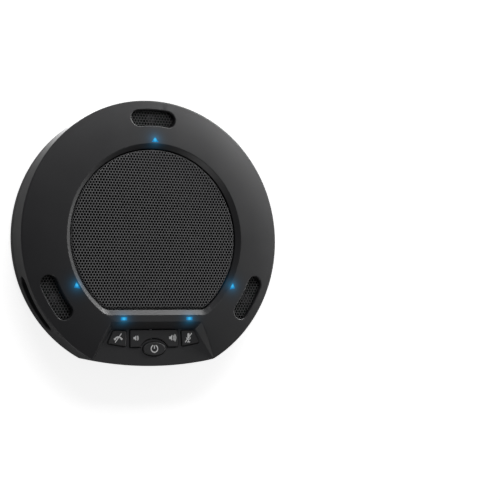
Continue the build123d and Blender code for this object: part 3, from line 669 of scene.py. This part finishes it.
# ------------------------------------------------------------------ operators
class SPEAKERPHONE_OT_finishes(bpy.types.Operator):
    """Make every finish and lay it on the carried-over parts"""

    bl_idname = "speakerphone.finishes"
    bl_label = "Finishes"

    def execute(self, context):
        finishes = finish_table(context.scene.speakerphone_colours)
        for part in frame["record"]["subparts"]:
            mesh = frame["nodes"][part["node"]].data
            mesh.materials.clear()
            mesh.materials.append(finishes[part["material_slot"]])
        return {"FINISHED"}


class SPEAKERPHONE_OT_speaker_grille(bpy.types.Operator):
    """Punch the loudspeaker grille and turn its edge down"""

    bl_idname = "speakerphone.speaker_grille"
    bl_label = "Loudspeaker grille"

    def execute(self, context):
        sizes = context.scene.speakerphone_metal
        low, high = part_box("speaker_grille")
        chord = CASE_AXIS.y - low.y
        arc = sizes.bend * math.pi / 2
        beyond = arc - sizes.bend + sizes.skirt
        hub_y = sizes.corner - chord
        hub_x = math.sqrt((GRILLE_RADIUS - sizes.corner) ** 2 - hub_y**2)

        def rim(x, y):
            """Distance inside the grille's outline, and the way out to it."""
            away = Vector((abs(x) - hub_x, y - hub_y, 0))
            if away.x > 0 and hub_x * away.y < hub_y * away.x:
                depth = sizes.corner - away.length
                away.x = math.copysign(away.x, x)
                return depth, away.normalized()
            radial = Vector((x, y, 0))
            if y + chord < GRILLE_RADIUS - radial.length:
                return y + chord, Vector((0, -1, 0))
            return GRILLE_RADIUS - radial.length, radial.normalized()

        bm = perforated_sheet(
            lambda x, y: rim(x, y)[0] > -beyond, GRILLE_RADIUS + beyond, GRILLE_RADIUS + beyond,
            CASE_AXIS, 0.0, sizes,
        )
        for v in bm.verts:
            flat = v.co - CASE_AXIS
            depth, outward = rim(flat.x, flat.y)
            past = sizes.bend - depth
            if past <= 0:
                continue
            around = min(past / sizes.bend, math.pi / 2)
            inward = sizes.bend * math.sin(around) - past
            drop = sizes.bend * (1 - math.cos(around)) + max(past - arc, 0.0)
            v.co += outward * inward
            v.co.z -= drop
        bmesh.ops.translate(bm, vec=(0, 0, high.z), verts=bm.verts)
        grille = finish_mesh(bm, "speaker_grille_sheet", smooth=False)
        thicken(grille, sizes.thickness)
        dress(grille, "housing", finish_named("grille_steel"))
        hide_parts("speaker_grille")
        return {"FINISHED"}


class SPEAKERPHONE_OT_mic_grilles(bpy.types.Operator):
    """Punch the mesh behind each microphone slot"""

    bl_idname = "speakerphone.mic_grilles"
    bl_label = "Microphone meshes"

    def execute(self, context):
        sizes = context.scene.speakerphone_metal
        low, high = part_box("mic_grille_back")
        reach = (high.x - low.x) / 2
        half_sweep = (reach - MIC_HALF_WIDTH) / MIC_RADIUS
        whole_cells = MIC_HALF_WIDTH - sizes.pitch * 0.4

        def holds(x, y):
            """True within the arc-shaped plate."""
            radius = math.hypot(x, y + MIC_RADIUS)
            sweep = math.atan2(x, y + MIC_RADIUS)
            past = max(abs(sweep) - half_sweep, 0.0) * MIC_RADIUS
            return math.hypot(radius - MIC_RADIUS, past) < whole_cells

        for side, angle in MIC_ANGLES.items():
            node = f"mic_grille_{side}"
            turn = math.radians(angle)
            spot = CASE_AXIS + Vector((math.cos(turn), math.sin(turn), 0)) * MIC_RADIUS
            spot.z += top_of(node)
            bm = perforated_sheet(holds, reach, reach, spot, turn - math.pi / 2, sizes)
            plate = finish_mesh(bm, f"{node}_sheet", smooth=False)
            thicken(plate, sizes.thickness)
            dress(plate, "housing", finish_named("mic_mesh_steel"))
            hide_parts(node)
        return {"FINISHED"}


class SPEAKERPHONE_OT_cone_surround(bpy.types.Operator):
    """Split the cone's rubber roll at its crest, so its inner half travels with the cone"""

    bl_idname = "speakerphone.cone_surround"
    bl_label = "Cone surround"

    def execute(self, context):
        low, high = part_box("speaker_surround")
        centre = (low + high) / 2
        outer_reach = (high.x - low.x) / 2
        crest_radius = 36.0 * MM
        roll_radius = high.z - low.z
        wall = 0.6 * MM
        roll_inside = roll_radius - wall
        inner_foot = 3.9 * MM
        split_gap = 0.05 * MM
        steps = 10
        foot_turn = math.acos(wall / roll_radius)
        halves = (
            ("surround_outer_half", 1, outer_reach - crest_radius, "housing"),
            ("surround_inner_half", -1, inner_foot, "cone"),
        )
        for name, side, foot, body in halves:
            outline = []
            for index in range(steps + 1):
                turn = foot_turn * index / steps
                outline.append((roll_radius * math.sin(turn), roll_radius * math.cos(turn)))
            outline += [(foot, wall), (foot, 0.0)]
            for index in range(steps + 1):
                turn = math.pi / 2 * (1 - index / steps)
                outline.append((roll_inside * math.sin(turn), roll_inside * math.cos(turn)))
            bm = bmesh.new()
            crest = centre.x + crest_radius
            ring = [
                bm.verts.new((crest + side * max(out, split_gap), centre.y, low.z + up))
                for out, up in outline
            ]
            edges = [bm.edges.new((ring[i - 1], ring[i])) for i in range(len(ring))]
            turn_round(bm, ring, edges, centre, 120)
            half = finish_mesh(bm, name)
            dress(half, body, finish_named("surround_rubber"))
            if body == "housing":
                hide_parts("speaker_surround")
        return {"FINISHED"}


class SPEAKERPHONE_OT_socket_trims(bpy.types.Operator):
    """Fit the metal collars, pin and shell of the sockets in the port bay"""

    bl_idname = "speakerphone.socket_trims"
    bl_label = "Socket trims"

    def execute(self, context):
        turn = math.radians(PORT_ANGLE)
        out = Vector((math.cos(turn), math.sin(turn), 0))
        along = Vector((-math.sin(turn), math.cos(turn), 0))
        steel = finish_named("plated_steel")

        def face(node):
            """Turns a flat drawing to stand on the port panel, centred on a socket."""
            spot = middle(node) - CASE_AXIS
            centre = CASE_AXIS + out * PORT_FACE_RADIUS + along * spot.dot(along)
            centre.z = middle(node).z
            facing = Matrix((along, Vector((0, 0, 1)), along.cross(Vector((0, 0, 1))))).transposed()
            return Matrix.Translation(centre) @ facing.to_4x4()

        for node, inner, outer, depth in COLLARS:
            bm = bmesh.new()
            profile = (
                (inner, -depth), (inner, 0.15), (inner + 0.15, 0.3),
                (outer - 0.2, 0.3), (outer, 0.05), (outer, -0.2),
            )
            verts = [bm.verts.new((x * MM, 0, z * MM)) for x, z in profile]
            edges = [bm.edges.new(pair) for pair in zip(verts, verts[1:])]
            turn_round(bm, verts, edges, (0, 0, 0), 40)
            bmesh.ops.transform(bm, matrix=face(node), verts=bm.verts)
            dress(finish_mesh(bm, f"{node}_collar"), "housing", steel)

        pin_radius, pin_length, pin_tip, pin_sunk = 1.03 * MM, 6.0 * MM, 0.5 * MM, 6.3 * MM
        bm = bmesh.new()
        bmesh.ops.create_circle(bm, cap_ends=True, radius=pin_radius, segments=20)
        top = raise_faces(bm, pin_length, keep=False)
        rim = [e for e in bm.edges if all(v in top for v in e.verts)]
        bmesh.ops.bevel(
            bm, geom=rim, offset=pin_tip, affect="EDGES", segments=3, profile=0.5, material=-1
        )
        bmesh.ops.translate(bm, vec=(0, 0, -pin_sunk), verts=bm.verts)
        bmesh.ops.transform(bm, matrix=face("power_jack"), verts=bm.verts)
        dress(finish_mesh(bm, "power_pin"), "housing", steel)

        shell_width, shell_height, shell_corner = 8.6 * MM, 4.7 * MM, 0.9 * MM
        shell_wall, shell_depth, shell_proud = 0.38 * MM, 0.45 * MM, 0.02 * MM
        bm = bmesh.new()
        shape = Matrix.Diagonal((shell_width, shell_height, 1, 1))
        bmesh.ops.create_grid(bm, x_segments=1, y_segments=1, size=0.5, matrix=shape)
        bmesh.ops.bevel(
            bm, geom=list(bm.verts), offset=shell_corner, affect="VERTICES", segments=4,
            profile=0.5, material=-1,
        )
        mouth = list(bm.faces)
        bmesh.ops.inset_region(bm, faces=mouth, thickness=shell_wall, use_boundary=True)
        bmesh.ops.delete(bm, geom=mouth, context="FACES")
        raise_faces(bm, shell_depth)
        bmesh.ops.translate(bm, vec=(0, 0, shell_proud), verts=bm.verts)
        bmesh.ops.transform(bm, matrix=face("usb_socket"), verts=bm.verts)
        dress(finish_mesh(bm, "usb_shell", smooth=False), "housing", steel)

        contact_gap, contact_up, contact_sunk = 1.1 * MM, 0.52 * MM, 0.9 * MM
        lying = Matrix.Rotation(math.radians(90), 4, "X") @ Matrix.Diagonal((0.6, 1.0, 1, 1))
        bm = bmesh.new()
        for index in range(4):
            place = Matrix.Translation(((index - 1.5) * contact_gap, contact_up, -contact_sunk))
            bmesh.ops.create_grid(
                bm, x_segments=1, y_segments=4, size=0.6 * MM, matrix=place @ lying
            )
        bmesh.ops.solidify(bm, geom=list(bm.faces), thickness=0.05 * MM)
        bmesh.ops.transform(bm, matrix=face("usb_socket"), verts=bm.verts)
        gilt = finish_named("contact_gilt")
        dress(finish_mesh(bm, "usb_contacts", smooth=False), "housing", gilt)
        return {"FINISHED"}


class SPEAKERPHONE_OT_key_symbols(bpy.types.Operator):
    """Print the symbols on the keys"""

    bl_idname = "speakerphone.key_symbols"
    bl_label = "Key symbols"

    def execute(self, context):
        sizes = context.scene.speakerphone_symbols
        for name, draw, key, (x, y), body, ink, scale in KEY_SYMBOLS:
            spot = CASE_AXIS + Vector((x * MM, y * MM, top_of(key)))
            place_symbol(name, draw, spot, body, finish_named(ink), sizes, scale)
        return {"FINISHED"}


# Half the floor's width, and how far it lies below the feet.
FLOOR_REACH = 6.0
FLOOR_DROP = 0.2 * MM
# Name, place, width, height, watts, and what it is for: gloss on the case, or shade on the floor.
SOFTBOXES = (
    ("key_right", (1.25, 0.95, 0.42), 0.8, 0.35, 30.8, "gloss"),
    ("back_low", (0.75, 1.3, 0.36), 0.5, 0.3, 6.4, "gloss"),
    ("side_low", (1.55, -0.05, 0.16), 0.7, 0.2, 7.5, "gloss"),
    ("back_high", (-0.1, 1.1, 1.15), 1.2, 0.5, 4.3, "gloss"),
    ("front_low", (-0.5, -1.3, 0.45), 0.7, 0.3, 3.8, "gloss"),
    ("over", (0.72, 0.0, 1.45), 0.9, 0.9, 0.8, "gloss"),
    ("floor_wash", (0.0, 1.3, 1.2), 1.4, 0.6, 13.0, "shade"),
)


def softbox(name, spot, target, width, height, energy, purpose):
    """Rectangular studio light that faces a point."""
    data = bpy.data.lights.new(name, "AREA")
    data.shape = "RECTANGLE"
    data.size = width
    data.size_y = height
    data.energy = energy
    lamp = bpy.data.objects.new(name, data)
    bpy.context.scene.collection.objects.link(lamp)
    lamp.location = spot
    lamp.visible_diffuse = purpose == "shade"
    lamp.visible_glossy = purpose == "gloss"
    lamp.rotation_mode = "QUATERNION"
    lamp.rotation_quaternion = (Vector(target) - Vector(spot)).to_track_quat("-Z", "Y")


class SPEAKERPHONE_OT_studio(bpy.types.Operator):
    """Lay the floor, hang the lights and place the camera"""

    bl_idname = "speakerphone.studio"
    bl_label = "Studio"

    def execute(self, context):
        scene = context.scene
        settings = scene.speakerphone_studio
        bm = bmesh.new()
        bmesh.ops.create_grid(bm, x_segments=1, y_segments=1, size=FLOOR_REACH)
        bmesh.ops.translate(bm, vec=(0, 0, -FLOOR_DROP), verts=bm.verts)
        floor = finish_mesh(bm, "floor", smooth=False)
        material, tree, shader = new_material("pale_floor")
        shader.inputs["Base Color"].default_value = (0.80, 0.80, 0.80, 1)
        shader.inputs["Roughness"].default_value = 0.9
        shader.inputs["Emission Color"].default_value = (1, 1, 1, 1)
        # The sheet glows white in the picture, and only dimly in the object's gloss,
        # with one bright patch beside the case that lights up its back left wall.
        where = tree.nodes.new("ShaderNodeTexCoord")
        gap = tree.nodes.new("ShaderNodeVectorMath")
        gap.operation = "DISTANCE"
        link(tree, where.outputs["Object"], gap.inputs[0])
        gap.inputs[1].default_value = settings.patch
        steps_away = math_node(tree, "DIVIDE", gap.outputs["Value"], settings.patch_reach)
        fade = math_node(tree, "POWER", math.exp(-1), steps_away)
        patch = math_node(tree, "MULTIPLY", fade, settings.patch_glow)
        dim = math_node(tree, "ADD", patch, settings.floor_glow)
        seen = tree.nodes.new("ShaderNodeLightPath").outputs["Is Camera Ray"]
        glow = tree.nodes.new("ShaderNodeMix")
        link(tree, seen, glow.inputs[0])
        link(tree, dim, glow.inputs[2])
        glow.inputs[3].default_value = settings.floor_white
        link(tree, glow.outputs[0], shader.inputs["Emission Strength"])
        floor.data.materials.append(material)

        target = CASE_AXIS + Vector((0, 0, FACE_EDGE_HEIGHT))
        for name, spot, width, height, energy, purpose in SOFTBOXES:
            softbox(name, spot, target, width, height, energy, purpose)

        world = bpy.data.worlds.new("studio")
        world.use_nodes = True
        room = world.node_tree.nodes["Background"]
        room.inputs["Color"].default_value = (1, 1, 1, 1)
        room.inputs["Strength"].default_value = settings.room_glow
        scene.world = world
        scene.view_settings.view_transform = "Standard"
        scene.view_settings.look = "None"

        turn = Matrix.Rotation(settings.roll, 3, "Z")
        turn = turn @ Matrix.Rotation(settings.pitch, 3, "X")
        turn = turn @ Matrix.Rotation(settings.yaw, 3, "Y")
        framed = Vector((settings.across, settings.up, -settings.distance))
        data = bpy.data.cameras.new("camera")
        data.lens = settings.lens
        data.sensor_width = 36.0
        camera = bpy.data.objects.new("camera", data)
        scene.collection.objects.link(camera)
        camera.rotation_mode = "QUATERNION"
        camera.rotation_quaternion = turn.transposed().to_quaternion()
        camera.location = target - turn.transposed() @ framed
        scene.camera = camera
        return {"FINISHED"}


class SPEAKERPHONE_PT_panel(bpy.types.Panel):
    """Sidebar panel that lists the steps and their settings"""

    bl_idname = "SPEAKERPHONE_PT_panel"
    bl_label = "Conference Speakerphone"
    bl_space_type = "VIEW_3D"
    bl_region_type = "UI"
    bl_category = "Speakerphone"

    def draw(self, context):
        layout = self.layout
        for name in SETTINGS:
            group = getattr(context.scene, name)
            box = layout.box()
            for prop in group.bl_rna.properties:
                if prop.identifier not in {"rna_type", "name"}:
                    box.prop(group, prop.identifier)
        for step in STEPS:
            layout.operator(step.bl_idname)


SETTINGS = {
    "speakerphone_metal": PerforatedMetal,
    "speakerphone_symbols": SymbolSizes,
    "speakerphone_colours": Colours,
    "speakerphone_studio": StudioSettings,
}
STEPS = (
    SPEAKERPHONE_OT_finishes,
    SPEAKERPHONE_OT_speaker_grille,
    SPEAKERPHONE_OT_mic_grilles,
    SPEAKERPHONE_OT_cone_surround,
    SPEAKERPHONE_OT_socket_trims,
    SPEAKERPHONE_OT_key_symbols,
    SPEAKERPHONE_OT_studio,
)


def register():
    for name, kind in SETTINGS.items():
        bpy.utils.register_class(kind)
        setattr(bpy.types.Scene, name, bpy.props.PointerProperty(type=kind))
    for step in STEPS:
        bpy.utils.register_class(step)
    bpy.utils.register_class(SPEAKERPHONE_PT_panel)


def unregister():
    bpy.utils.unregister_class(SPEAKERPHONE_PT_panel)
    for step in reversed(STEPS):
        bpy.utils.unregister_class(step)
    for name, kind in SETTINGS.items():
        delattr(bpy.types.Scene, name)
        bpy.utils.unregister_class(kind)


def main():
    register()
    bpy.ops.speakerphone.finishes()
    bpy.ops.speakerphone.speaker_grille()
    bpy.ops.speakerphone.mic_grilles()
    bpy.ops.speakerphone.cone_surround()
    bpy.ops.speakerphone.socket_trims()
    bpy.ops.speakerphone.key_symbols()
    bpy.ops.speakerphone.studio()


if __name__ == "__main__":
    main()
